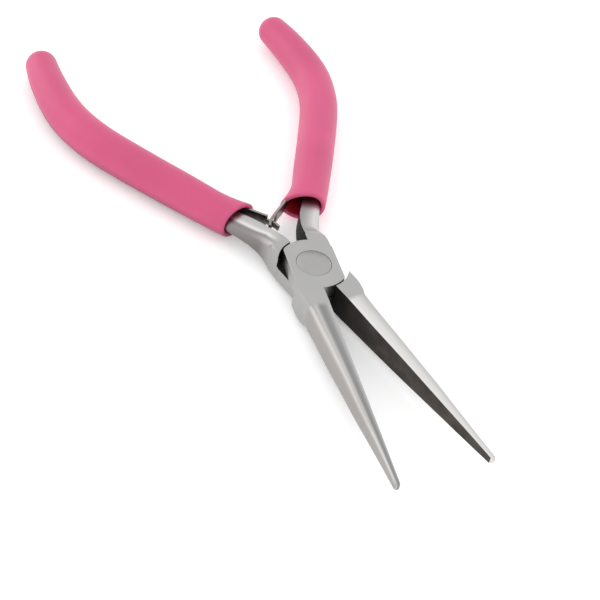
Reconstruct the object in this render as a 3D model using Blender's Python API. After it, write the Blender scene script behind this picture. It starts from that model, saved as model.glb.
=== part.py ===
"""Spring-return long-nose jewellery pliers, open as they rest.

Two identical lap-jointed forgings turn on one flush rivet. Each carries a soft
sleeve and a steel leaf, and the two leaves hook into each other between the
handles. The pivot axis is Z through the origin, the jaws point along +X, and
z = 0 is the underside of the joint.

One half is drawn closed: its jaw lies on the -Y side of the parting plane
y = 0, its handle on the +Y side. The other half is the same shape turned over.
Lengths are millimetres, and become metres where meshes are made.
"""

import math

import bmesh
import bpy
from mathutils import Matrix, Vector

MM = 0.001

# Joint
JOINT_THICKNESS = 7.0
HALF_OPENING = math.radians(9.9)  # each jaw from the centre line, at rest
LAP_GAP = 0.3
PLATE_RADIUS = 7.6
RECESS_RADIUS = 7.9
PLATE_HALF_WIDTH = 5.7
RIVET_HEAD_RADIUS = 3.95
RIVET_HEAD_DEPTH = 1.3
RIVET_SHANK_RADIUS = 2.6
RIVET_CLEARANCE = 0.08

# Jaw: distance from the pivot, depth away from the parting plane, height
JAW_LENGTH = 61.5
JAW_FACE_SETBACK = 0.1
JAW_STATIONS = [
    (3.0, 5.7, 7.0), (9.0, 5.7, 7.0), (11.2, 5.2, 7.0), (12.5, 5.1, 7.0), (16.5, 4.85, 6.9),
    (21.3, 4.5, 6.8), (27.5, 4.1, 6.55), (35.0, 3.5, 5.8), (43.0, 2.9, 4.8),
    (51.0, 2.2, 3.8), (58.5, 1.6, 2.6), (60.6, 1.45, 2.2),
]
JAW_SQUARE_END = 9.0
JAW_ROUND_START = 18.0
# Corners of the jaw's back, as shares of its depth and half height, and the easing of
# each edge of the gripping face, as a share of its height
JAW_SQUARE_CORNER = (0.1, 0.06)
JAW_ROUND_CORNER = (0.65, 0.8)
JAW_SQUARE_EASE = 0.01
JAW_ROUND_EASE = 0.085
TIP_ROUND_LENGTH = 0.9
TIP_END_OVERRUN = 0.1
TIP_MIDDLE_SETBACK = 0.3
TIP_ROUND_HEIGHT = 0.4  # share of the height left at the very end of the tip
CORNER_STEPS = 5

# Handle tang: (x, y) of its middle, width, height
TANG_STATIONS = [
    (-4.0, 3.3, 4.4, 7.0), (-8.0, 3.2, 4.7, 7.0), (-9.6, 3.15, 4.5, 6.9),
    (-12.0, 3.3, 4.5, 6.0), (-14.3, 3.75, 4.9, 5.2), (-16.7, 4.5, 5.2, 4.8),
    (-20.0, 5.8, 5.0, 4.7), (-24.0, 7.4, 4.5, 4.5), (-29.0, 9.3, 4.2, 4.4),
    (-36.0, 12.0, 4.0, 4.2), (-45.0, 15.2, 4.0, 4.2), (-55.0, 18.6, 4.0, 4.2),
    (-62.0, 20.2, 4.0, 4.2), (-69.0, 20.8, 4.0, 4.2), (-76.0, 20.1, 3.8, 4.0),
    (-84.0, 18.2, 3.6, 3.8),
]

TANG_SQUARE_CORNER = (0.1, 0.06)
TANG_ROUND_CORNER = (0.55, 0.7)
TANG_ROUND_HEIGHT = 4.8  # height below which the tang is fully rounded
TANG_INNER_EASE = 0.3

# Sleeve: middle line from mouth to round end, and its outside diameter
SLEEVE_LINE = [
    (-22.2, 5.65), (-26.3, 7.4), (-33.7, 10.3), (-44.1, 14.4), (-55.0, 18.4),
    (-61.5, 20.1), (-68.0, 20.8), (-74.0, 20.4), (-80.0, 19.2), (-85.0, 17.9),
    (-89.2, 16.5),
]
SLEEVE_DIAMETERS = [
    (0.0, 8.5), (0.08, 8.6), (0.25, 9.1), (0.45, 9.3), (0.6, 9.2), (0.8, 8.6), (1.0, 7.7),
]
SLEEVE_SIDES = 20
SLEEVE_RINGS = 20
SLEEVE_END_LENGTH = 3.7
SLEEVE_END_ANGLES = (25, 50, 70, 84)
SLEEVE_BORE_END = 0.92
SLEEVE_BORE_HALF_WIDTHS = [(0.0, 3.6), (0.1, 3.3), (1.0, 3.1)]
SLEEVE_BORE_HALF_HEIGHT = 2.6
SLEEVE_BORE_CORNER = 1.1
SLEEVE_NOTCH_HEIGHT = 4.4
SLEEVE_NOTCH = [(-20.0, 0.5), (-20.0, -4.0), (-27.0, -2.0), (-30.3, 5.8), (-28.2, 6.4)]

# Leaf springs: path from the rivet, in the closed frame of the leaf's own half
LEAF_RIVET = (-32.2, 7.5)
LEAF_HEIGHT = 3.4
LEAF_THICKNESS = 0.6
LEAF_FOOT = 1.6
LEAF_STEPS = 45
SLOTTED_PATH = [
    LEAF_RIVET, (-30.2, 6.4), (-28.0, 4.6), (-23.2, 0.5), (-17.4, -4.5), (-15.0, -5.7),
]
TONGUE_PATH = [
    LEAF_RIVET, (-30.2, 6.4), (-28.0, 4.8), (-22.5, 1.2), (-17.7, -1.8), (-15.7, -2.3),
]
SLOT_HEIGHT = 2.2
SLOT_REACH = 4.8
SLOT_END_BAND = 0.55
TONGUE_HEIGHT = 1.4
TONGUE_LENGTH = 4.0
LEAF_HOLE_RADIUS = 1.0
LEAF_RIVET_RADIUS = 0.75
LEAF_RIVET_HEAD_RADIUS = 1.2
LEAF_RIVET_HEAD_DEPTH = 0.45
LEAF_RIVET_LENGTH = 3.6
LEAF_RIVET_CLEARANCE = 0.1
LEAF_HEAD_OVERLAP = 0.2
LEAF_SIDE_GAP = 0.4

MID_Z = JOINT_THICKNESS / 2
CIRCLE_SIDES = 64
BAR_SIDES = 20
PLATE_ARC_STEPS = 16
CUTTER_OVERRUN = 1.0

STEEL = ("satin_steel", (0.62, 0.61, 0.58), 1.0, 0.34)
RIVET_STEEL = ("rivet_steel", (0.50, 0.50, 0.48), 1.0, 0.42)
SPRING_STEEL = ("spring_steel", (0.30, 0.28, 0.26), 1.0, 0.35)
PINK_VINYL = ("pink_vinyl", (0.75, 0.13, 0.26), 0.0, 0.42)


def clear_scene():
    for scene_object in list(bpy.data.objects):
        bpy.data.objects.remove(scene_object)


def material(spec):
    name, colour, metallic, roughness = spec
    found = bpy.data.materials.get(name)
    if found:
        return found
    made = bpy.data.materials.new(name)
    made.use_nodes = True
    shader = made.node_tree.nodes["Principled BSDF"]
    shader.inputs["Base Color"].default_value = (*colour, 1.0)
    shader.inputs["Metallic"].default_value = metallic
    shader.inputs["Roughness"].default_value = roughness
    return made


def at(table, x):
    """The value that a table of (position, value) rows gives at x, by straight lines."""
    for (x0, v0), (x1, v1) in zip(table, table[1:]):
        if x <= x1 or (x1, v1) == table[-1]:
            part = min(max((x - x0) / (x1 - x0), 0.0), 1.0)
            return v0 + (v1 - v0) * part


def smooth_line(points, steps):
    """Points along a Catmull-Rom curve through the given (x, y) points."""
    ends = [2 * Vector(points[0]) - Vector(points[1]), 2 * Vector(points[-1]) - Vector(points[-2])]
    knots = [ends[0]] + [Vector(p) for p in points] + [ends[1]]
    line = []
    for i in range(steps + 1):
        place = i / steps * (len(points) - 1)
        k = min(int(place), len(points) - 2)
        t = place - k
        a, b, c, d = knots[k : k + 4]
        line.append(0.5 * (2 * b + (c - a) * t + (2 * a - 5 * b + 4 * c - d) * t**2
                           + (3 * b - a - 3 * c + d) * t**3))
    return line


def normals(line):
    """Unit vectors across the line, to the right of its direction of travel."""
    across = []
    for i in range(len(line)):
        along = (line[min(i + 1, len(line) - 1)] - line[max(i - 1, 0)]).normalized()
        across.append(Vector((along.y, -along.x)))
    return across


def between(low, high, share):
    """The pair of values a share of the way from one pair to another."""
    return [a + (b - a) * share for a, b in zip(low, high)]


def section(inner, outer, height, corner, ease):
    """A D-shaped outline of (u, z): flat with eased edges at u = inner, rounded towards u = outer."""
    round_u = corner[0] * (outer - inner)
    round_z = corner[1] * height / 2
    outline = [(inner + ease, height / 2)]
    for i in range(CORNER_STEPS + 1):
        angle = math.pi / 2 * i / CORNER_STEPS
        outline.append((outer - round_u + round_u * math.sin(angle),
                        height / 2 - round_z + round_z * math.cos(angle)))
    outline += [(u, -z) for u, z in reversed(outline)]
    outline += [(inner, -height / 2 + ease), (inner, height / 2 - ease)]
    return outline


def loft(rings):
    """Vertices and faces of a closed body through rings that have equal counts."""
    count = len(rings[0])
    vertices = [v for ring in rings for v in ring]
    faces = [list(range(count)), list(range(len(vertices) - count, len(vertices)))]
    for r in range(len(rings) - 1):
        for i in range(count):
            j = (i + 1) % count
            faces.append([r * count + i, r * count + j, (r + 1) * count + j, (r + 1) * count + i])
    return vertices, faces


def extrude(outline, bottom, top):
    return loft([[(x, y, z) for x, y in outline] for z in (bottom, top)])


def disc(radius, bottom, top, centre=(0.0, 0.0)):
    turns = [2 * math.pi * i / CIRCLE_SIDES for i in range(CIRCLE_SIDES)]
    outline = [(centre[0] + radius * math.cos(a), centre[1] + radius * math.sin(a)) for a in turns]
    return extrude(outline, bottom, top)


def face_outward(mesh):
    """Drops points that no face uses, and turns the faces outward."""
    tidy = bmesh.new()
    tidy.from_mesh(mesh)
    unused = [v for v in tidy.verts if not v.link_faces]
    bmesh.ops.delete(tidy, geom=unused, context="VERTS")
    bmesh.ops.recalc_face_normals(tidy, faces=tidy.faces)
    tidy.to_mesh(mesh)
    tidy.free()


def new_object(name, shape, spec=None):
    vertices, faces = shape
    mesh = bpy.data.meshes.new(name)
    mesh.from_pydata([Vector(v) * MM for v in vertices], [], faces)
    face_outward(mesh)
    made = bpy.data.objects.new(name, mesh)
    bpy.context.scene.collection.objects.link(made)
    if spec:
        mesh.materials.append(material(spec))
    return made


def shade(mesh, sharp_degrees=35):
    mesh.shade_smooth()
    mesh.set_sharp_from_angle(angle=math.radians(sharp_degrees))


def bake(made):
    """Puts what the modifiers make into the object's own mesh."""
    graph = bpy.context.evaluated_depsgraph_get()
    result = bpy.data.meshes.new_from_object(made.evaluated_get(graph))
    made.modifiers.clear()
    made.data = result


def combine(base, operation, shape, solver="EXACT"):
    """Adds or cuts a shape, and bakes the result into the base object's mesh."""
    tool = new_object("tool", shape)
    step = base.modifiers.new(operation, "BOOLEAN")
    step.operation = operation
    step.solver = solver
    step.object = tool
    bake(base)
    bpy.data.objects.remove(tool)


def jaw_shape():
    rings = []
    depths = [(x, depth) for x, depth, _ in JAW_STATIONS]
    heights = [(x, height) for x, _, height in JAW_STATIONS]
    tip_start = JAW_STATIONS[-1][0]
    stations = [x for x, _ in depths] + [JAW_LENGTH - TIP_MIDDLE_SETBACK, JAW_LENGTH]
    for x in stations:
        depth = at(depths, x)
        height = at(heights, x)
        if x > tip_start:
            reach = (x - tip_start) / (TIP_ROUND_LENGTH + TIP_END_OVERRUN)
            nose = math.sqrt(1 - reach**2)
            depth *= nose
            height *= TIP_ROUND_HEIGHT + (1 - TIP_ROUND_HEIGHT) * nose
        share = min(max((x - JAW_SQUARE_END) / (JAW_ROUND_START - JAW_SQUARE_END), 0.0), 1.0)
        corner = between(JAW_SQUARE_CORNER, JAW_ROUND_CORNER, share)
        ease = (JAW_SQUARE_EASE + (JAW_ROUND_EASE - JAW_SQUARE_EASE) * share) * height
        outline = section(JAW_FACE_SETBACK, depth, height, corner, ease)
        rings.append([(x, -u, MID_Z + z) for u, z in outline])
    return loft(rings)


def tang_shape():
    line = [Vector((x, y)) for x, y, _, _ in TANG_STATIONS]
    rings = []
    for centre, across, (_, _, width, height) in zip(line, normals(line), TANG_STATIONS):
        share = min((JOINT_THICKNESS - height) / (JOINT_THICKNESS - TANG_ROUND_HEIGHT), 1.0)
        corner = between(TANG_SQUARE_CORNER, TANG_ROUND_CORNER, share)
        outline = section(-width / 2, width / 2, height, corner, TANG_INNER_EASE)
        rings.append([(centre.x + across.x * u, centre.y + across.y * u, MID_Z + z)
                      for u, z in outline])
    return loft(rings)


def plate_shape():
    """The half-thick joint plate: a round disc with its two long sides cut flat."""
    edge = math.asin(PLATE_HALF_WIDTH / PLATE_RADIUS)
    outline = []
    for start, end in ((-edge, edge), (math.pi - edge, math.pi + edge)):
        for i in range(PLATE_ARC_STEPS + 1):
            angle = start + (end - start) * i / PLATE_ARC_STEPS
            outline.append((PLATE_RADIUS * math.cos(angle), PLATE_RADIUS * math.sin(angle)))
    return extrude(outline, MID_Z + LAP_GAP / 2, JOINT_THICKNESS)


def leaf_frame():
    """Where the leaf's rivet goes through the tang: its middle, and the way out of the tang."""
    line = [Vector((x, y)) for x, y, _, _ in TANG_STATIONS]
    nearest = min(range(len(line)), key=lambda i: (line[i] - Vector(LEAF_RIVET)).length)
    return Vector(LEAF_RIVET), -normals(line)[nearest]


def bar(start, direction, length, radius):
    """A round bar lying flat at mid height."""
    across = Vector((-direction.y, direction.x))
    rings = []
    for along in (0.0, length):
        centre = start + direction * along
        ring = []
        for i in range(BAR_SIDES):
            angle = 2 * math.pi * i / BAR_SIDES
            side = centre + across * (radius * math.cos(angle))
            ring.append((side.x, side.y, MID_Z + radius * math.sin(angle)))
        rings.append(ring)
    return loft(rings)


def half_mesh():
    half = new_object("half", jaw_shape(), STEEL)
    combine(half, "UNION", plate_shape())
    combine(half, "UNION", tang_shape())
    combine(half, "DIFFERENCE", disc(RECESS_RADIUS, -CUTTER_OVERRUN, MID_Z + LAP_GAP / 2))
    bore = RIVET_SHANK_RADIUS + RIVET_CLEARANCE
    combine(half, "DIFFERENCE", disc(bore, 0.0, JOINT_THICKNESS + CUTTER_OVERRUN))
    seat = RIVET_HEAD_RADIUS + RIVET_CLEARANCE
    seat_floor = JOINT_THICKNESS - RIVET_HEAD_DEPTH - RIVET_CLEARANCE
    combine(half, "DIFFERENCE", disc(seat, seat_floor, JOINT_THICKNESS + CUTTER_OVERRUN))
    centre, out = leaf_frame()
    hole = LEAF_RIVET_RADIUS + LEAF_RIVET_CLEARANCE
    combine(half, "DIFFERENCE", bar(centre, -out, LEAF_RIVET_LENGTH, hole))
    mesh = half.data
    mesh.name = "half"
    bpy.data.objects.remove(half)
    shade(mesh)
    return mesh


def sleeve_ring(centre, across, half_width, half_height, corner=None):
    ring = []
    for i in range(SLEEVE_SIDES):
        angle = 2 * math.pi * (i + 0.5) / SLEEVE_SIDES
        u, z = math.cos(angle), math.sin(angle)
        if corner is None:
            u, z = u * half_width, z * half_height
        else:
            u = math.copysign(half_width - corner, u) + corner * u
            z = math.copysign(half_height - corner, z) + corner * z
        ring.append((centre.x + across.x * u, centre.y + across.y * u, MID_Z + z))
    return ring


def sleeve_mesh():
    line = smooth_line(SLEEVE_LINE, SLEEVE_RINGS)
    across = normals(line)
    rings = []
    bore_rings = []
    for i, (centre, side) in enumerate(zip(line, across)):
        radius = at(SLEEVE_DIAMETERS, i / SLEEVE_RINGS) / 2
        rings.append(sleeve_ring(centre, side, radius, radius))
        if i / SLEEVE_RINGS <= SLEEVE_BORE_END:
            half_width = at(SLEEVE_BORE_HALF_WIDTHS, i / SLEEVE_RINGS)
            bore_rings.append(sleeve_ring(centre, side, half_width,
                                          SLEEVE_BORE_HALF_HEIGHT, SLEEVE_BORE_CORNER))
    onward = (line[-1] - line[-2]).normalized()
    for angle in SLEEVE_END_ANGLES:
        turn = math.radians(angle)
        centre = line[-1] + onward * (SLEEVE_END_LENGTH * math.sin(turn))
        rings.append(sleeve_ring(centre, across[-1], radius * math.cos(turn), radius * math.cos(turn)))
    sleeve = new_object("sleeve", loft(list(reversed(bore_rings)) + rings), PINK_VINYL)
    notch_top = SLEEVE_NOTCH_HEIGHT / 2
    combine(sleeve, "DIFFERENCE", extrude(SLEEVE_NOTCH, MID_Z - notch_top, MID_Z + notch_top))
    mesh = sleeve.data
    mesh.name = "sleeve"
    bpy.data.objects.remove(sleeve)
    shade(mesh, 50)
    return mesh


def arc_lengths(line):
    lengths = [0.0]
    for a, b in zip(line, line[1:]):
        lengths.append(lengths[-1] + (b - a).length)
    return lengths


def leaf_object(name, path, slotted):
    """A leaf spring, with its origin on the upright axis through its rivet."""
    line = smooth_line(path, LEAF_STEPS)
    foot = line[0] - (line[1] - line[0]).normalized() * LEAF_FOOT
    line = [foot] + line
    from_end = [arc_lengths(line)[-1] - s for s in arc_lengths(line)]
    inner_half = (SLOT_HEIGHT if slotted else TONGUE_HEIGHT) / 2
    levels = [MID_Z - LEAF_HEIGHT / 2, MID_Z - inner_half, MID_Z + inner_half, MID_Z + LEAF_HEIGHT / 2]
    rows = len(levels)
    vertices = [(p.x, p.y, z) for p in line for z in levels]
    faces = []
    for i in range(len(line) - 1):
        middle = (from_end[i] + from_end[i + 1]) / 2
        in_slot = slotted and SLOT_END_BAND < middle < SLOT_END_BAND + SLOT_REACH
        in_tongue = not slotted and middle < TONGUE_LENGTH
        for j in range(rows - 1):
            if (in_slot and j == 1) or (in_tongue and j != 1):
                continue
            a = i * rows + j
            faces.append([a, a + rows, a + rows + 1, a + 1])
    leaf = new_object(name, (vertices, faces), SPRING_STEEL)
    thicken = leaf.modifiers.new("thickness", "SOLIDIFY")
    thicken.thickness = LEAF_THICKNESS * MM
    thicken.offset = 0.0
    bake(leaf)
    face_outward(leaf.data)
    centre, out = leaf_frame()
    hole = bar(centre - out * CUTTER_OVERRUN, out, CUTTER_OVERRUN * 2, LEAF_HOLE_RADIUS)
    combine(leaf, "DIFFERENCE", hole, "MANIFOLD")
    leaf.data.transform(Matrix.Translation(-Vector((*LEAF_RIVET, 0.0)) * MM))
    leaf.location = Vector((*LEAF_RIVET, 0.0)) * MM
    return leaf


def leaf_rivet_mesh():
    centre, out = leaf_frame()
    head_foot = centre + out * (LEAF_THICKNESS / 2 + LEAF_SIDE_GAP)
    head = bar(head_foot, out, LEAF_RIVET_HEAD_DEPTH, LEAF_RIVET_HEAD_RADIUS)
    rivet = new_object("leaf_rivet", head, RIVET_STEEL)
    shank = bar(head_foot + out * LEAF_HEAD_OVERLAP, -out, LEAF_RIVET_LENGTH, LEAF_RIVET_RADIUS)
    combine(rivet, "UNION", shank)
    mesh = rivet.data
    mesh.name = "leaf_rivet"
    bpy.data.objects.remove(rivet)
    shade(mesh)
    return mesh


def pivot_rivet():
    top = JOINT_THICKNESS
    inside = RIVET_HEAD_DEPTH / 2
    rivet = new_object("pivot_rivet", disc(RIVET_SHANK_RADIUS, inside, top - inside), RIVET_STEEL)
    combine(rivet, "UNION", disc(RIVET_HEAD_RADIUS, 0.0, RIVET_HEAD_DEPTH))
    combine(rivet, "UNION", disc(RIVET_HEAD_RADIUS, top - RIVET_HEAD_DEPTH, top))
    shade(rivet.data)
    return rivet


def place(child, parent):
    child.parent = parent
    if not child.users_collection:
        bpy.context.scene.collection.objects.link(child)


def main():
    clear_scene()
    upper = bpy.data.objects.new("upper_arm_axis", None)
    lower = bpy.data.objects.new("lower_arm_axis", None)
    turned_over = Matrix.Translation((0.0, 0.0, JOINT_THICKNESS * MM)) @ Matrix.Rotation(math.pi, 4, "X")
    upper.matrix_world = Matrix.Rotation(-HALF_OPENING, 4, "Z")
    lower.matrix_world = Matrix.Rotation(HALF_OPENING, 4, "Z") @ turned_over
    for axis in (upper, lower):
        bpy.context.scene.collection.objects.link(axis)

    forging = half_mesh()
    sleeve = sleeve_mesh()
    leaf_rivet = leaf_rivet_mesh()
    for mesh, upper_name, lower_name in (
        (forging, "upper_half", "lower_half"),
        (sleeve, "grip_right", "grip_left"),
        (leaf_rivet, "spring_rivet_right", "spring_rivet_left"),
    ):
        place(bpy.data.objects.new(upper_name, mesh), upper)
        place(bpy.data.objects.new(lower_name, mesh), lower)
    place(leaf_object("leaf_spring_slotted", SLOTTED_PATH, True), upper)
    place(leaf_object("leaf_spring_tongue", TONGUE_PATH, False), lower)
    pivot_rivet()


main()
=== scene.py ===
import math

import bmesh
import bpy
import numpy as np
from mathutils import Matrix, Vector


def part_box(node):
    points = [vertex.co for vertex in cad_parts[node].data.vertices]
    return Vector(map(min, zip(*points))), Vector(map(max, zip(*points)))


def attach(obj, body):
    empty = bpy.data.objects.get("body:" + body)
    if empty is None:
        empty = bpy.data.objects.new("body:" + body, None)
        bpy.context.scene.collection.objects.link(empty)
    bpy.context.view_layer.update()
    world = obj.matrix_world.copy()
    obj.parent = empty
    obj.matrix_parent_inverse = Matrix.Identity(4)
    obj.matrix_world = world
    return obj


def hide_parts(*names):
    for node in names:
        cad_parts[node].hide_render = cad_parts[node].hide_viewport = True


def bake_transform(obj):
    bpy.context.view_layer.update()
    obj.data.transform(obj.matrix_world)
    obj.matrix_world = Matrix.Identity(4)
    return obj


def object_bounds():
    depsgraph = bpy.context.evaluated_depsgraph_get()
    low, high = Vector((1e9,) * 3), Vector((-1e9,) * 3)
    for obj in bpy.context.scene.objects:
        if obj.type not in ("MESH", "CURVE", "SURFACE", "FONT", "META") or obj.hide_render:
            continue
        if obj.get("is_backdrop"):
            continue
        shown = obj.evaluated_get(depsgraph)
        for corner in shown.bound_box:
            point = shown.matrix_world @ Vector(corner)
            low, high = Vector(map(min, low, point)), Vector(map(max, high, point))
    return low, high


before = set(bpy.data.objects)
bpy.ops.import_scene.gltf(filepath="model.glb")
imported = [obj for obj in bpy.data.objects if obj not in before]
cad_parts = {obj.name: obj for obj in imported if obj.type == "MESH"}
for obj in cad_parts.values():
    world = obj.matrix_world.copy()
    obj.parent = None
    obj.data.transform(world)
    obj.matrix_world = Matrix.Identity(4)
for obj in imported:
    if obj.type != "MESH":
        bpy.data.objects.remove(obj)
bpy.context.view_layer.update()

# Lengths below are millimetres. One half of the pliers is drawn closed: jaw on the
# -Y side of the parting plane, handle on the +Y side; the other half is it turned over.
MM = 0.001
JOINT_THICKNESS = (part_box("pivot_rivet")[1].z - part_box("pivot_rivet")[0].z) / MM
MID_Z = JOINT_THICKNESS / 2
HALF_OPENING = math.radians(9.9)

# Joint
LAP_GAP = 0.24
PLATE_RADIUS = 7.65
PLATE_CORNER = 1.3
RECESS_RADIUS = 7.95
PLATE_HALF_WIDTH = 5.7
EDGE_ROUND = 0.12
RIVET_HEAD_RADIUS = 3.95
RIVET_SEAT_GAP = 0.07

# Jaw: distance from the pivot, depth, half height of the gripping face, half height of the
# body behind it, squareness of its section
JAW_LENGTH = 62.0
JAW_FACE_SETBACK = 0.1
JAW_STATIONS = [
    (3.0, 5.72, 4.20, 4.30, 9.0), (8.0, 5.72, 4.10, 4.20, 9.0), (9.4, 5.60, 4.00, 4.10, 9.0),
    (11.2, 5.20, 3.80, 3.98, 9.0), (12.2, 5.12, 3.55, 3.66, 5.6), (12.7, 5.10, 3.47, 3.52, 4.6),
    (14.0, 5.05, 3.40, 3.48, 3.8), (16.5, 4.90, 3.28, 3.44, 3.4), (19.5, 4.70, 3.14, 3.40, 3.2),
    (23.5, 4.42, 2.98, 3.36, 3.0), (27.5, 4.10, 2.82, 3.24, 3.0), (31.5, 3.75, 2.64, 3.06, 3.0),
    (35.4, 3.45, 2.44, 2.86, 3.0), (39.2, 3.20, 2.21, 2.60, 3.0), (43.1, 2.90, 1.99, 2.36, 2.9),
    (46.8, 2.55, 1.76, 2.10, 2.8), (50.6, 2.22, 1.56, 1.86, 2.7), (54.2, 1.92, 1.34, 1.60, 2.6),
    (57.9, 1.64, 1.10, 1.32, 2.5), (61.5, 1.42, 0.86, 1.00, 2.4),
]
JAW_SHOULDER = 0.42
JAW_RISE_START = 22.0
JAW_RISE = 0.6
TIP_ROUND = 0.7

# Tang: (x, y) of its middle, width, height, squareness of its section
TANG_STATIONS = [
    (-3.5, 3.35, 4.3, 8.6, 9.0), (-6.0, 3.25, 4.6, 8.5, 8.0), (-8.0, 3.15, 4.75, 8.3, 6.5),
    (-9.8, 3.1, 4.6, 7.6, 4.6), (-12.0, 3.25, 4.6, 6.5, 3.3), (-14.3, 3.68, 4.8, 5.7, 2.6),
    (-16.7, 4.35, 4.9, 5.2, 2.3), (-20.0, 5.6, 4.6, 4.8, 2.2), (-24.0, 7.3, 4.3, 4.4, 2.2),
    (-29.0, 9.3, 4.1, 4.2, 2.4), (-36.0, 12.0, 3.9, 4.1, 2.6), (-45.0, 15.2, 3.9, 4.1, 2.6),
    (-55.0, 18.6, 3.9, 4.1, 2.6), (-62.0, 20.2, 3.9, 4.1, 2.6), (-69.0, 20.8, 3.8, 4.0, 2.6),
    (-76.0, 20.1, 3.7, 3.9, 2.6), (-84.0, 18.2, 3.5, 3.7, 2.6),
]
TANG_DROP_START = -6.0
TANG_DROP_END = -13.0
TANG_DROP = 0.35

# Sleeve
SLEEVE_LINE = [
    (-22.2, 5.65), (-26.3, 7.4), (-33.7, 10.3), (-44.1, 14.4), (-55.0, 18.4),
    (-61.5, 20.1), (-68.0, 20.8), (-74.0, 20.4), (-80.0, 19.2), (-85.0, 17.9),
    (-89.2, 16.5),
]
SLEEVE_DIAMETERS = [
    (0.0, 8.35), (0.08, 8.5), (0.25, 9.1), (0.45, 9.3), (0.6, 9.2), (0.8, 8.6), (1.0, 7.7),
]
SLEEVE_END_LENGTH = 3.7
SLEEVE_SIDES = 72
SLEEVE_WALL = 1.05
SLEEVE_BORE_DEPTH = 18.0
LIP_REACH = 8.0
LIP_FLARE = 2.0
LIP_FORWARD = 1.1
LIP_BACK = 0.8

# Leaf springs, in the closed frame of each leaf's own half
LEAF_RIVET = (-32.2, 7.5)
LEAF_HEIGHT = 3.4
LEAF_THICKNESS = 0.6
LEAF_FOOT = 1.6
SLOTTED_PATH = [
    LEAF_RIVET, (-30.2, 6.4), (-28.0, 4.6), (-23.2, 0.5), (-17.4, -4.5), (-15.0, -5.7),
]
TONGUE_PATH = [
    LEAF_RIVET, (-30.2, 6.4), (-28.0, 4.8), (-22.5, 1.2), (-17.7, -1.8), (-15.7, -2.3),
]
SLOT_HALF_HEIGHT = 1.1
SLOT_START = 0.55
SLOT_END = 5.35
TONGUE_HALF_HEIGHT = 0.7
TONGUE_LENGTH = 3.35

# Looks: linear colours. The bands are painted highlights, reflections and shade in the steel's colour;
# they run across a jaw from its gripping face to its back.
FLAT_STEEL = (0.405, 0.402, 0.394)
FLAT_STEEL_DARK = (0.375, 0.372, 0.365)
UPPER_JAW_PAINTED_LIGHT = [
    (0.0, (0.46, 0.46, 0.45)), (0.10, (0.44, 0.442, 0.44)), (0.30, (0.27, 0.272, 0.27)),
    (0.50, (0.235, 0.237, 0.235)), (0.60, (0.34, 0.34, 0.335)), (0.68, (0.50, 0.495, 0.48)),
    (0.80, (0.39, 0.375, 0.36)), (1.0, (0.35, 0.33, 0.315)),
]
LOWER_JAW_PAINTED_LIGHT = [
    (0.0, (0.45, 0.44, 0.43)), (0.06, (0.70, 0.69, 0.675)), (0.4, (0.62, 0.61, 0.595)),
    (0.75, (0.47, 0.455, 0.44)), (1.0, (0.31, 0.295, 0.28)),
]
# The painted highlights, reflections and shade in bands across a tang, from its inner side to its outer
# side.
UPPER_TANG_PAINTED_LIGHT = [
    (0.0, (0.30, 0.29, 0.285)), (0.30, (0.42, 0.415, 0.41)), (0.62, (0.60, 0.595, 0.585)),
    (0.85, (0.50, 0.495, 0.49)), (1.0, (0.40, 0.395, 0.39)),
]
LOWER_TANG_PAINTED_LIGHT = [
    (0.0, (0.44, 0.435, 0.425)), (0.30, (0.50, 0.495, 0.485)), (0.46, (0.72, 0.71, 0.70)),
    (0.60, (0.24, 0.225, 0.215)), (0.75, (0.27, 0.25, 0.24)), (1.0, (0.20, 0.185, 0.18)),
]

# Where the painted bands of light and shade lie, in the closed frame. The jaw's depth falls along it,
# and its bands fade in past the joint; the tang's fade in behind it and bend outwards with it.
JAW_DEPTH_AT_PIVOT = 6.15
JAW_DEPTH_FALL = 0.0765
JAW_BAND_START = 12.125
JAW_BAND_FADE = 0.8
TANG_INNER_SIDE = 0.9
TANG_BAND_WIDTH = 5.0
TANG_BEND_START = -13.25
TANG_BEND_SLOPE = 0.4
TANG_BAND_START = -9.0
TANG_BAND_FADE = 0.3
STEEL_ROUGHNESS = 0.32

# Soft light from all round, and a weak one from the lower left
WORLD_STRENGTH = 1.2
LIGHT_PLACE = (-0.75, -0.55, 0.30)
LIGHT_SIZE = 0.9
LIGHT_POWER = 2.4
FLOOR_SIZE = 4.0

# Camera, in metres and as rows of a turn, where the photograph was taken from
CAMERA_PLACE = (0.23555, -0.16961, 0.26492)
CAMERA_RIGHT = (0.43781, 0.88307, 0.16887)
CAMERA_DOWN = (0.67301, -0.19736, -0.71282)
CAMERA_LENS = 105.9
FLOOR_GAP = 0.0002
FLOOR_GLOW = 0.25


# ---------------------------------------------------------------- helpers

def hermite(table, x):
    """Smooth value at x of a table of (position, value) rows, with no overshoot between rows."""
    xs = [row[0] for row in table]
    ys = [row[1] for row in table]
    x = min(max(x, xs[0]), xs[-1])
    k = min(int(np.searchsorted(xs, x, side="right")) - 1, len(xs) - 2)
    rises = [(ys[i + 1] - ys[i]) / (xs[i + 1] - xs[i]) for i in range(len(xs) - 1)]

    def slope(i):
        if i == 0 or i == len(xs) - 1:
            return rises[0] if i == 0 else rises[-1]
        a, b = rises[i - 1], rises[i]
        return 0.0 if a * b <= 0 else 2 * a * b / (a + b)

    step = xs[k + 1] - xs[k]
    t = (x - xs[k]) / step
    return (
        ys[k] * (1 + 2 * t) * (1 - t) ** 2
        + slope(k) * step * t * (1 - t) ** 2
        + ys[k + 1] * t * t * (3 - 2 * t)
        + slope(k + 1) * step * t * t * (t - 1)
    )


def smooth_line(points, steps):
    """Points along a Catmull-Rom curve through the given (x, y) points."""
    first = 2 * Vector(points[0]) - Vector(points[1])
    last = 2 * Vector(points[-1]) - Vector(points[-2])
    knots = [first] + [Vector(p) for p in points] + [last]
    line = []
    for i in range(steps + 1):
        place = i / steps * (len(points) - 1)
        k = min(int(place), len(points) - 2)
        t = place - k
        a, b, c, d = knots[k : k + 4]
        line.append(0.5 * (2 * b + (c - a) * t + (2 * a - 5 * b + 4 * c - d) * t**2
                           + (3 * b - a - 3 * c + d) * t**3))
    return line


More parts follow.
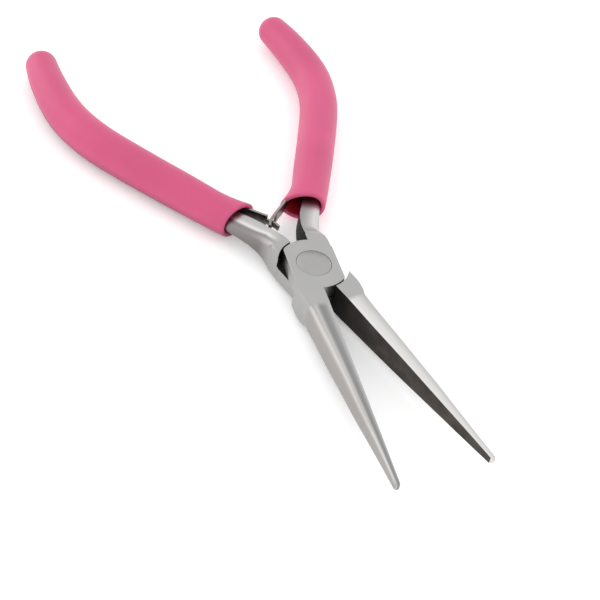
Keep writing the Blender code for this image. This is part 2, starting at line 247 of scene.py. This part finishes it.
def normals(line):
    """Unit vectors across the line, to the right of its direction of travel."""
    across = []
    for i in range(len(line)):
        along = (line[min(i + 1, len(line) - 1)] - line[max(i - 1, 0)]).normalized()
        across.append(Vector((along.y, -along.x)))
    return across


def travelled(line):
    lengths = [0.0]
    for a, b in zip(line, line[1:]):
        lengths.append(lengths[-1] + (b - a).length)
    return lengths


def loft(rings):
    count = len(rings[0])
    vertices = [v for ring in rings for v in ring]
    faces = [list(range(count)), list(range(len(vertices) - count, len(vertices)))]
    for r in range(len(rings) - 1):
        for i in range(count):
            j = (i + 1) % count
            faces.append([r * count + i, r * count + j, (r + 1) * count + j, (r + 1) * count + i])
    return vertices, faces


def new_object(name, shape):
    vertices, faces = shape
    mesh = bpy.data.meshes.new(name)
    mesh.from_pydata([Vector(v) * MM for v in vertices], [], faces)
    face_outward(mesh)
    made = bpy.data.objects.new(name, mesh)
    bpy.context.scene.collection.objects.link(made)
    return made


def face_outward(mesh):
    tidy = bmesh.new()
    tidy.from_mesh(mesh)
    unused = [v for v in tidy.verts if not v.link_faces]
    bmesh.ops.delete(tidy, geom=unused, context="VERTS")
    bmesh.ops.recalc_face_normals(tidy, faces=tidy.faces)
    tidy.to_mesh(mesh)
    tidy.free()


def bake(made):
    graph = bpy.context.evaluated_depsgraph_get()
    result = bpy.data.meshes.new_from_object(made.evaluated_get(graph))
    made.modifiers.clear()
    made.data = result


def combine(base, operation, shape):
    tool = new_object("tool", shape)
    step = base.modifiers.new(operation, "BOOLEAN")
    step.operation = operation
    step.object = tool
    bake(base)
    bpy.data.objects.remove(tool)


def circle(radius, z, sides=192):
    return [(radius * math.cos(2 * math.pi * i / sides), radius * math.sin(2 * math.pi * i / sides), z)
            for i in range(sides)]


def turned(profile):
    """A solid of revolution about the pivot axis from (radius, z) rows."""
    return loft([circle(radius, z) for radius, z in profile])


def slab(low, high):
    reach = 100.0
    corners = [(-reach, -reach), (reach, -reach), (reach, reach), (-reach, reach)]
    return loft([[(x, y, z) for x, y in corners] for z in (low, high)])


def shade(mesh, sharp_degrees=32):
    mesh.shade_smooth()
    mesh.set_sharp_from_angle(angle=math.radians(sharp_degrees))


# ---------------------------------------------------------------- shapes

def d_ring(inner, outer, height, squareness, corner=0.14, steps=22):
    """A half-round outline of (u, z): flat with eased corners at u = inner, round towards u = outer."""
    power = 2 / squareness
    span = outer - inner - corner
    half = height / 2
    arc = []
    for i in range(steps + 1):
        angle = math.pi / 2 * i / steps
        arc.append((inner + corner + span * math.sin(angle) ** power, half * math.cos(angle) ** power))
    eased = [(inner, half - corner), (inner + corner * 0.3, half - corner * 0.3)]
    top = eased + arc
    return top + [(u, -z) for u, z in reversed(top[:-1])]


def jaw_ring(x, shrink=1.0, rise=0.0):
    """One section of the jaw: a flat gripping face, a shoulder rising from it, a round back."""
    depth, face_half, body_half, squareness = [
        hermite([(row[0], row[k]) for row in JAW_STATIONS], x) for k in (1, 2, 3, 4)]
    power = 2 / squareness
    shoulder = JAW_FACE_SETBACK + (depth - JAW_FACE_SETBACK) * JAW_SHOULDER
    top = [(JAW_FACE_SETBACK, 0.0), (JAW_FACE_SETBACK, face_half - 0.05)]
    for i in range(9):
        angle = math.pi / 2 * i / 9
        top.append((JAW_FACE_SETBACK + 0.03 + (shoulder - JAW_FACE_SETBACK - 0.03) * math.sin(angle),
                    face_half + (body_half - face_half) * math.sin(angle)))
    for i in range(25):
        angle = math.pi / 2 * i / 24
        top.append((shoulder + (depth - shoulder) * math.sin(angle) ** power,
                    body_half * math.cos(angle) ** power))
    outline = top + [(u, -z) for u, z in reversed(top[1:-1])]
    middle = JAW_FACE_SETBACK + (depth - JAW_FACE_SETBACK) * 0.4
    lift = rise * max(0.0, x - JAW_RISE_START) / (JAW_LENGTH - JAW_RISE_START)
    return [(x, -(middle + (u - middle) * shrink), MID_Z + lift + z * shrink) for u, z in outline]


def jaw_shape(rise):
    stations = list(np.linspace(3.0, 9.0, 12)) + list(np.linspace(9.4, 18.0, 44))
    stations += list(np.linspace(19.0, JAW_LENGTH - TIP_ROUND, 40))
    rings = [jaw_ring(x, 1.0, rise) for x in stations]
    for turn in np.radians([20, 40, 58, 72, 84]):
        rings.append(jaw_ring(JAW_LENGTH - TIP_ROUND * (1 - math.sin(turn)),
                              0.5 + 0.5 * math.cos(turn), rise))
    return loft(rings)


def tang_shape(drop):
    line = smooth_line([(x, y) for x, y, _, _, _ in TANG_STATIONS], 144)
    rings = []
    for centre, across in zip(line, normals(line)):
        width, height, squareness = [
            hermite(sorted((row[0], row[k]) for row in TANG_STATIONS), centre.x) for k in (2, 3, 4)]
        outline = d_ring(-width / 2, width / 2, height, squareness, 0.25)
        part = min(max((centre.x - TANG_DROP_START) / (TANG_DROP_END - TANG_DROP_START), 0.0), 1.0)
        middle = MID_Z - drop * part * part * (3 - 2 * part)
        rings.append([(centre.x + across.x * u, centre.y + across.y * u, middle + z)
                      for u, z in outline])
    return loft(rings)


def plate_outline(inset):
    """The joint plate seen from above: a disc with two long sides cut flat and eased corners."""
    half_width = PLATE_HALF_WIDTH - inset
    radius = PLATE_RADIUS - inset
    corner = PLATE_CORNER - inset
    corner_y = half_width - corner
    corner_x = math.sqrt((radius - corner) ** 2 - corner_y**2)
    edge = math.atan2(corner_y, corner_x)
    side = [(radius * math.cos(a), radius * math.sin(a)) for a in np.linspace(-edge, edge, 33)]
    side += [(corner_x + corner * math.cos(a), corner_y + corner * math.sin(a))
             for a in np.linspace(edge, math.pi / 2, 10)[1:]]
    far = [(-x, y) for x, y in reversed(side)]
    below = [(corner_x + corner * math.cos(a), -corner_y + corner * math.sin(a))
             for a in np.linspace(-math.pi / 2, -edge, 10)[:-1]]
    return side + far + [(-x, y) for x, y in reversed(below)] + below


def plate_shape():
    rings = []
    levels = [(MID_Z + LAP_GAP / 2, 0.0)]
    for degrees in (0, 30, 60, 90):
        turn = math.radians(degrees)
        levels.append((JOINT_THICKNESS - EDGE_ROUND * (1 - math.sin(turn)),
                       EDGE_ROUND * (1 - math.cos(turn))))
    for z, inset in levels:
        rings.append([(x, y, z) for x, y in plate_outline(inset)])
    return loft(rings)


def half_object(rise, drop):
    half = new_object("half", jaw_shape(rise))
    combine(half, "UNION", tang_shape(drop))
    combine(half, "DIFFERENCE", slab(JOINT_THICKNESS, 20.0))
    combine(half, "DIFFERENCE", slab(-13.0, 0.0))
    combine(half, "UNION", plate_shape())
    combine(half, "DIFFERENCE", turned([
        (RECESS_RADIUS + 1.0 + EDGE_ROUND, -1.0), (RECESS_RADIUS + EDGE_ROUND, 0.0),
        (RECESS_RADIUS + EDGE_ROUND * 0.3, EDGE_ROUND * 0.3), (RECESS_RADIUS, EDGE_ROUND),
        (RECESS_RADIUS, MID_Z + LAP_GAP / 2)]))
    seat = RIVET_HEAD_RADIUS + RIVET_SEAT_GAP
    combine(half, "DIFFERENCE", turned([(seat, MID_Z - 1.0), (seat, JOINT_THICKNESS + 1.0)]))
    shade(half.data)
    return half


def rivet_object():
    """Flush rivet: two domed-edge discs joined by its shank."""
    low = [(RIVET_HEAD_RADIUS - 0.05, 0.0), (RIVET_HEAD_RADIUS, 0.05)]
    high = [(radius, JOINT_THICKNESS - z) for radius, z in reversed(low)]
    rivet = new_object("rivet", turned(low + high))
    shade(rivet.data, 50)
    return rivet


def sleeve_object():
    line = smooth_line(SLEEVE_LINE, 160)
    lengths = travelled(line)
    across = normals(line)
    mouth_way = (line[0] - line[1]).normalized()
    outer = []
    inner = []
    for i, (centre, side) in enumerate(zip(line, across)):
        radius = hermite(SLEEVE_DIAMETERS, i / 160) / 2
        near = max(0.0, 1 - lengths[i] / LIP_REACH) ** 2
        outer.append(sleeve_ring(centre, side, mouth_way, radius, near))
        if lengths[i] <= SLEEVE_BORE_DEPTH:
            inner.append(sleeve_ring(centre, side, mouth_way, radius - SLEEVE_WALL, near))
    onward = (line[-1] - line[-2]).normalized()
    for degrees in (10, 20, 30, 40, 50, 60, 69, 77, 84):
        turn = math.radians(degrees)
        centre = line[-1] + onward * (SLEEVE_END_LENGTH * math.sin(turn))
        outer.append(sleeve_ring(centre, across[-1], mouth_way, radius * math.cos(turn), 0.0))
    lip = []
    for turn in np.radians([0, 45, 90, 135, 180]):
        share = (1 - math.cos(turn)) / 2
        bulge = mouth_way * (0.45 * math.sin(turn))
        lip.append([tuple(Vector(a).lerp(Vector(b), share) + Vector((*bulge, 0.0)))
                    for a, b in zip(inner[0], outer[0])])
    sleeve = new_object("sleeve", loft(list(reversed(inner)) + lip[1:-1] + outer))
    sleeve.data["bore_points"] = len(inner) * SLEEVE_SIDES
    shade(sleeve.data, 60)
    return sleeve


def sleeve_ring(centre, side, mouth_way, radius, near):
    """One ring of the sleeve; near the mouth its inner side is pushed out where the leaf leaves."""
    ring = []
    for i in range(SLEEVE_SIDES):
        angle = 2 * math.pi * i / SLEEVE_SIDES
        u, z = radius * math.cos(angle), radius * math.sin(angle)
        inward = max(0.0, -math.cos(angle)) ** 1.5
        u -= LIP_FLARE * near * inward
        forward = mouth_way * (near * (LIP_FORWARD * inward - LIP_BACK * max(0.0, math.cos(angle))))
        ring.append((centre.x + side.x * u + forward.x, centre.y + side.y * u + forward.y, MID_Z + z))
    return ring


def leaf_object(name, path, slotted):
    line = smooth_line(path, 120)
    foot = line[0] - (line[1] - line[0]).normalized() * LEAF_FOOT
    line = [foot] + line
    total = travelled(line)[-1]
    from_end = [total - s for s in travelled(line)]
    inner_half = SLOT_HALF_HEIGHT if slotted else TONGUE_HALF_HEIGHT
    levels = [MID_Z - LEAF_HEIGHT / 2, MID_Z - inner_half, MID_Z + inner_half, MID_Z + LEAF_HEIGHT / 2]
    rows = len(levels)
    vertices = [(p.x, p.y, z) for p in line for z in levels]
    faces = []
    for i in range(len(line) - 1):
        middle = (from_end[i] + from_end[i + 1]) / 2
        in_slot = slotted and SLOT_START < middle < SLOT_END
        in_tongue = not slotted and middle < TONGUE_LENGTH
        for j in range(rows - 1):
            if (in_slot and j == 1) or (in_tongue and j != 1):
                continue
            a = i * rows + j
            faces.append([a, a + rows, a + rows + 1, a + 1])
    leaf = new_object(name, (vertices, faces))
    thicken = leaf.modifiers.new("thickness", "SOLIDIFY")
    thicken.thickness = LEAF_THICKNESS * MM
    thicken.offset = 0.0
    soften = leaf.modifiers.new("edges", "BEVEL")
    soften.width = 0.06 * MM
    soften.segments = 2
    soften.limit_method = "ANGLE"
    soften.angle_limit = math.radians(40)
    bake(leaf)
    face_outward(leaf.data)
    shade(leaf.data, 40)
    return leaf


# ---------------------------------------------------------------- materials

class Nodes:
    """A short way to write a node tree."""

    def __init__(self, name):
        self.material = bpy.data.materials.new(name)
        self.material.use_nodes = True
        self.tree = self.material.node_tree
        self.shader = self.tree.nodes["Principled BSDF"]
        self.place = self.add("ShaderNodeTexCoord").outputs["Object"]

    def add(self, kind, **settings):
        node = self.tree.nodes.new(kind)
        for key, value in settings.items():
            setattr(node, key, value)
        return node

    def link(self, source, target):
        self.tree.links.new(source, target)

    def stretched(self, scale, turn=0.0):
        mapping = self.add("ShaderNodeMapping")
        mapping.inputs["Scale"].default_value = scale
        mapping.inputs["Rotation"].default_value = (0.0, 0.0, turn)
        self.link(self.place, mapping.inputs["Vector"])
        return mapping.outputs["Vector"]

    def noise(self, vector, scale, detail=3.0, roughness=0.5):
        node = self.add("ShaderNodeTexNoise")
        node.inputs["Scale"].default_value = scale
        node.inputs["Detail"].default_value = detail
        node.inputs["Roughness"].default_value = roughness
        self.link(vector, node.inputs["Vector"])
        return node.outputs["Fac"]

    def ramp(self, value, stops):
        node = self.add("ShaderNodeValToRGB")
        elements = node.color_ramp.elements
        while len(elements) < len(stops):
            elements.new(0.5)
        for element, (position, colour) in zip(elements, stops):
            element.position = position
            element.color = (*colour, 1.0) if len(colour) == 3 else (colour[0],) * 3 + (1.0,)
        self.link(value, node.inputs["Fac"])
        return node.outputs["Color"]

    def mix(self, share, a, b):
        node = self.add("ShaderNodeMix", data_type="RGBA")
        for name, source in (("Factor", share), ("A", a), ("B", b)):
            target = node.inputs[name]
            if isinstance(source, bpy.types.NodeSocket):
                self.link(source, target)
            else:
                target.default_value = source if isinstance(source, float) else (*source, 1.0)
        return node.outputs["Result"]

    def times(self, a, b):
        node = self.add("ShaderNodeMix", data_type="RGBA", blend_type="MULTIPLY")
        node.inputs["Factor"].default_value = 1.0
        self.link(a, node.inputs["A"])
        self.link(b, node.inputs["B"])
        return node.outputs["Result"]

    def math(self, operation, *values):
        node = self.add("ShaderNodeMath", operation=operation)
        for socket, value in zip(node.inputs, values):
            if isinstance(value, bpy.types.NodeSocket):
                self.link(value, socket)
            else:
                socket.default_value = value
        return node.outputs["Value"]

    def bump(self, height, strength, distance):
        node = self.add("ShaderNodeBump")
        node.inputs["Strength"].default_value = strength
        node.inputs["Distance"].default_value = distance
        self.link(height, node.inputs["Height"])
        self.link(node.outputs["Normal"], self.shader.inputs["Normal"])

    def set(self, **values):
        for key, value in values.items():
            socket = self.shader.inputs[key.replace("_", " ")]
            if isinstance(value, bpy.types.NodeSocket):
                self.link(value, socket)
            else:
                socket.default_value = value


def brushed(n, tone, rough):
    """Fine lengthwise grain over a base tone."""
    grain = n.noise(n.stretched((120, 1500, 1500)), 3.0, 4.0)
    streak = n.ramp(grain, [(0.3, (0.975,)), (0.7, (1.0,))])
    roughness = n.ramp(grain, [(0.25, (rough - 0.04,)), (0.75, (rough + 0.06,))])
    n.set(Base_Color=n.times(tone, streak), Metallic=1.0, Roughness=roughness)
    return n.material


def steel_material(name, light, dark, rough):
    n = Nodes(name)
    cloud = n.noise(n.place, 90.0, 3.0)
    return brushed(n, n.ramp(cloud, [(0.3, dark), (0.7, light)]), rough)


def forging_material(name, turn, side, bands, tang_bands):
    """Satin steel with lengthwise bands of painted highlight, reflection and shade; side is +1 or -1
    for the jaw's side of y.
    """
    n = Nodes(name)
    cloud = n.noise(n.place, 90.0, 3.0)
    body = n.ramp(cloud, [(0.3, FLAT_STEEL_DARK), (0.7, FLAT_STEEL)])
    split = n.add("ShaderNodeSeparateXYZ")
    n.link(n.stretched((1000, 1000, 1000), -turn), split.inputs["Vector"])
    along, away = split.outputs["X"], split.outputs["Y"]
    depth = n.math("MULTIPLY_ADD", along, -JAW_DEPTH_FALL, JAW_DEPTH_AT_PIVOT)
    across = n.math("DIVIDE", n.math("MULTIPLY", away, float(side)), depth)
    # Painted highlights, reflections and shade across the jaw
    painted_jaw_light = n.ramp(across, bands)
    started = n.math("MULTIPLY_ADD", along, JAW_BAND_FADE, -JAW_BAND_FADE * JAW_BAND_START)
    started.node.use_clamp = True
    clouded = n.ramp(cloud, [(0.3, (0.95,)), (0.7, (1.0,))])
    tone = n.mix(started, body, n.times(painted_jaw_light, clouded))
    bend = n.math("MULTIPLY_ADD", along, -TANG_BEND_SLOPE, TANG_BEND_SLOPE * TANG_BEND_START)
    outward = n.math("SUBTRACT", n.math("MULTIPLY", away, -float(side)), n.math("MAXIMUM", bend, 0.0))
    share = n.math("MULTIPLY_ADD", outward, 1 / TANG_BAND_WIDTH, -TANG_INNER_SIDE / TANG_BAND_WIDTH)
    # Painted highlights, reflections and shade across the tang
    painted_tang_light = n.ramp(share, tang_bands)
    tang_started = n.math("MULTIPLY_ADD", along, -TANG_BAND_FADE, TANG_BAND_FADE * TANG_BAND_START)
    tang_started.node.use_clamp = True
    return brushed(n, n.mix(tang_started, tone, painted_tang_light), STEEL_ROUGHNESS)


def oxide_material():
    """Dark heat scale left on the faces that polishing doesn't reach, with painted shade darkening it
    from the jaws towards the joint.
    """
    n = Nodes("dark_oxide")
    cloud = n.noise(n.place, 240.0, 4.0, 0.6)
    spots = n.noise(n.place, 1400.0, 2.0)
    split = n.add("ShaderNodeSeparateXYZ")
    n.link(n.stretched((18, 18, 18)), split.inputs["Vector"])
    # Painted shade: the scale is darkest at the joint and behind it, and lightens along the jaws
    # towards the tips.
    oxide_shaded_to_joint = n.ramp(split.outputs["X"], [
        (0.14, (0.014, 0.013, 0.013)), (0.40, (0.060, 0.050, 0.044)), (1.0, (0.070, 0.060, 0.053))])
    mottle = n.ramp(cloud, [(0.3, (0.65,)), (0.7, (1.25,))])
    n.set(Base_Color=n.times(oxide_shaded_to_joint, mottle), Specular_IOR_Level=0.05)
    n.set(Roughness=n.ramp(spots, [(0.3, (0.45,)), (0.7, (0.6,))]))
    n.bump(spots, 0.12, 0.00002)
    return n.material


def vinyl_material(name, colour, deep, foot_shade=1.0):
    """Soft vinyl; the last argument is the share of its tone left at the foot of its sides, painted
    shade that darkens it towards the floor.
    """
    n = Nodes(name)
    split = n.add("ShaderNodeSeparateXYZ")
    n.link(n.stretched((100, 100, 100)), split.inputs["Vector"])
    pores = n.noise(n.place, 2600.0, 3.0, 0.6)
    cloud = n.noise(n.place, 70.0, 2.0)
    tone = n.ramp(cloud, [(0.3, deep), (0.7, colour)])
    # Painted shade: the tone darkens towards the floor, down to the given share at the foot of the
    # sides.
    tone = n.times(tone, n.ramp(split.outputs["Z"], [(0.0, (foot_shade,)), (0.34, (1.0,))]))
    n.set(Base_Color=tone, Roughness=n.ramp(pores, [(0.3, (0.38,)), (0.7, (0.5,))]))
    n.set(Specular_IOR_Level=0.4, Subsurface_Weight=0.12, Subsurface_Scale=0.002)
    n.shader.inputs["Subsurface Radius"].default_value = (1.0, 0.35, 0.35)
    n.bump(pores, 0.12, 0.00004)
    return n.material


def assign(mesh, chosen):
    """chosen is a list of (material, test) rows; a face takes the first whose test says yes."""
    mesh.materials.clear()
    for material, _ in chosen:
        mesh.materials.append(material)
    for face in mesh.polygons:
        centre = face.center / MM
        for index, (_, test) in enumerate(chosen):
            if test(centre, face.normal):
                face.material_index = index
                break


def assign_bore(mesh, outside, bore):
    """The bore's rings come first in the sleeve's mesh, so its faces use only the first points."""
    mesh.materials.clear()
    mesh.materials.append(outside)
    mesh.materials.append(bore)
    bore_points = mesh["bore_points"]
    for face in mesh.polygons:
        face.material_index = int(all(v < bore_points for v in face.vertices))


def always(centre, normal):
    return True


def half_dark(centre, normal):
    """Parting face of the jaw, the lap recess and rivet seat, and the inner side of the tang."""
    jaw_face = centre.x > 5.0 and centre.y > -JAW_FACE_SETBACK - 0.02 and normal.y > 0.9
    radius = math.hypot(centre.x, centre.y)
    recess = 0.02 < centre.z < JOINT_THICKNESS * 0.55 and radius < RECESS_RADIUS + 0.05
    # On the rivet seat walls the dark scale is painted shade, drawing the narrow gap round the rivet as
    # a dark line.
    seat = radius < RIVET_HEAD_RADIUS + RIVET_SEAT_GAP + 0.05 and abs(normal.z) < 0.5
    tang_face = centre.x < -7.0 and normal.y < -0.6 and abs(normal.z) < 0.5
    return jaw_face or recess or seat or tang_face


# ---------------------------------------------------------------- assembly

def half_turns():
    turned_over = Matrix.Translation((0, 0, JOINT_THICKNESS * MM)) @ Matrix.Rotation(math.pi, 4, "X")
    return {
        "upper": Matrix.Rotation(-HALF_OPENING, 4, "Z"),
        "lower": Matrix.Rotation(HALF_OPENING, 4, "Z") @ turned_over,
    }


def settle(made, name, matrix, body, nodes):
    """Puts a piece drawn in the closed frame where it belongs, on its body."""
    made.name = name
    made.data = made.data.copy()
    made.data.name = name
    made.data.transform(matrix)
    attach(made, body)
    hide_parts(*nodes)


def settle_sleeve(made, name, matrix, node):
    """A soft sleeve: puts it where it belongs, bakes that place into its mesh and hides its CAD part.
    """
    made.name = name
    made.data = made.data.copy()
    made.data.name = name
    made.data.transform(matrix)
    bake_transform(made)
    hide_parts(node)


def copy_of(made):
    twin = made.copy()
    bpy.context.scene.collection.objects.link(twin)
    return twin


def weigh_normals(made):
    step = made.modifiers.new("weighted_normals", "WEIGHTED_NORMAL")
    step.keep_sharp = True
    step.weight = 60


def build():
    turns = half_turns()
    rivet_steel = steel_material("rivet_face", (0.375, 0.372, 0.365), (0.345, 0.342, 0.336), 0.36)
    spring_steel = steel_material("spring_strip", (0.34, 0.32, 0.30), (0.24, 0.22, 0.20), 0.30)
    oxide = oxide_material()
    vinyl = vinyl_material("pink_vinyl", (0.57, 0.078, 0.19), (0.52, 0.068, 0.168))
    # The left sleeve's copy of the vinyl has painted shade at the foot of its sides.
    foot_shaded_vinyl = vinyl_material("pink_vinyl_foot_shaded", (0.57, 0.078, 0.19), (0.52, 0.068, 0.168), 0.45)
    # The bore's deeper red is painted shade inside the sleeve.
    bore_shade_vinyl = vinyl_material("vinyl_bore_shade", (0.50, 0.012, 0.03), (0.42, 0.008, 0.02))

    # Each half has its own painted highlights, reflections and shade, because the two halves lie
    # differently to the light.
    upper_steel = forging_material("upper_steel", -HALF_OPENING, -1, UPPER_JAW_PAINTED_LIGHT, UPPER_TANG_PAINTED_LIGHT)
    lower_steel = forging_material("lower_steel", HALF_OPENING, 1, LOWER_JAW_PAINTED_LIGHT, LOWER_TANG_PAINTED_LIGHT)
    for side, way, steel in (("upper", 1, upper_steel), ("lower", -1, lower_steel)):
        half = half_object(way * JAW_RISE, way * TANG_DROP)
        assign(half.data, [(oxide, half_dark), (steel, always)])
        weigh_normals(half)
        settle(half, side + "_forging", turns[side], side + "_arm", [side + "_half"])

    rivet = rivet_object()
    assign(rivet.data, [(rivet_steel, always)])
    settle(rivet, "flush_rivet", Matrix.Identity(4), "lower_arm", ["pivot_rivet"])

    sleeve = sleeve_object()
    assign_bore(sleeve.data, vinyl, bore_shade_vinyl)
    twin = copy_of(sleeve)
    twin.data = sleeve.data.copy()
    twin.data.materials[0] = foot_shaded_vinyl
    settle_sleeve(sleeve, "sleeve_right", turns["upper"], "grip_right")
    settle_sleeve(twin, "sleeve_left", turns["lower"], "grip_left")

    slotted = leaf_object("leaf_slotted", SLOTTED_PATH, True)
    assign(slotted.data, [(spring_steel, always)])
    settle(slotted, "leaf_slotted", turns["upper"], "right_leaf", ["leaf_spring_slotted"])
    tongue = leaf_object("leaf_tongue", TONGUE_PATH, False)
    assign(tongue.data, [(spring_steel, always)])
    settle(tongue, "leaf_tongue", turns["lower"], "left_leaf", ["leaf_spring_tongue"])

    for node in ("spring_rivet_right", "spring_rivet_left"):
        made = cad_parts[node]
        made.data.materials.clear()
        made.data.materials.append(rivet_steel)


def studio():
    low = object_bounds()[0].z
    bpy.ops.mesh.primitive_plane_add(size=FLOOR_SIZE, location=(0.0, 0.0, low - FLOOR_GAP))
    floor = bpy.context.object
    floor.name = "floor"
    n = Nodes("white_floor")
    soft = n.noise(n.place, 6.0, 2.0)
    pale = n.ramp(soft, [(0.0, (0.86, 0.86, 0.86)), (1.0, (0.88, 0.88, 0.88))])
    n.set(Base_Color=pale, Roughness=0.9, Emission_Color=pale, Emission_Strength=FLOOR_GLOW)
    floor.data.materials.append(n.material)
    floor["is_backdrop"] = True

    world = bpy.data.worlds.new("studio")
    bpy.context.scene.world = world
    world.use_nodes = True
    background = world.node_tree.nodes["Background"]
    background.inputs["Color"].default_value = (1.0, 1.0, 1.0, 1.0)
    background.inputs["Strength"].default_value = WORLD_STRENGTH
    area_light("left_low", LIGHT_PLACE, (0, 0, 0), LIGHT_SIZE, LIGHT_POWER)


def area_light(name, place, aim, size, power):
    data = bpy.data.lights.new(name, "AREA")
    data.shape = "SQUARE"
    data.size = size
    data.energy = power
    made = bpy.data.objects.new(name, data)
    bpy.context.scene.collection.objects.link(made)
    made.location = place
    made.rotation_euler = (Vector(aim) - Vector(place)).to_track_quat("-Z", "Y").to_euler()


def camera():
    data = bpy.data.cameras.new("camera")
    data.lens = CAMERA_LENS
    data.sensor_width = 36.0
    made = bpy.data.objects.new("camera", data)
    bpy.context.scene.collection.objects.link(made)
    right = Vector(CAMERA_RIGHT).normalized()
    down = Vector(CAMERA_DOWN)
    down = (down - right * down.dot(right)).normalized()
    forward = right.cross(down)
    turn = Matrix((right, -down, -forward)).transposed()
    made.matrix_world = Matrix.Translation(CAMERA_PLACE) @ turn.to_4x4()
    bpy.context.scene.camera = made


build()
studio()
camera()
bpy.context.scene.view_settings.view_transform = "Standard"
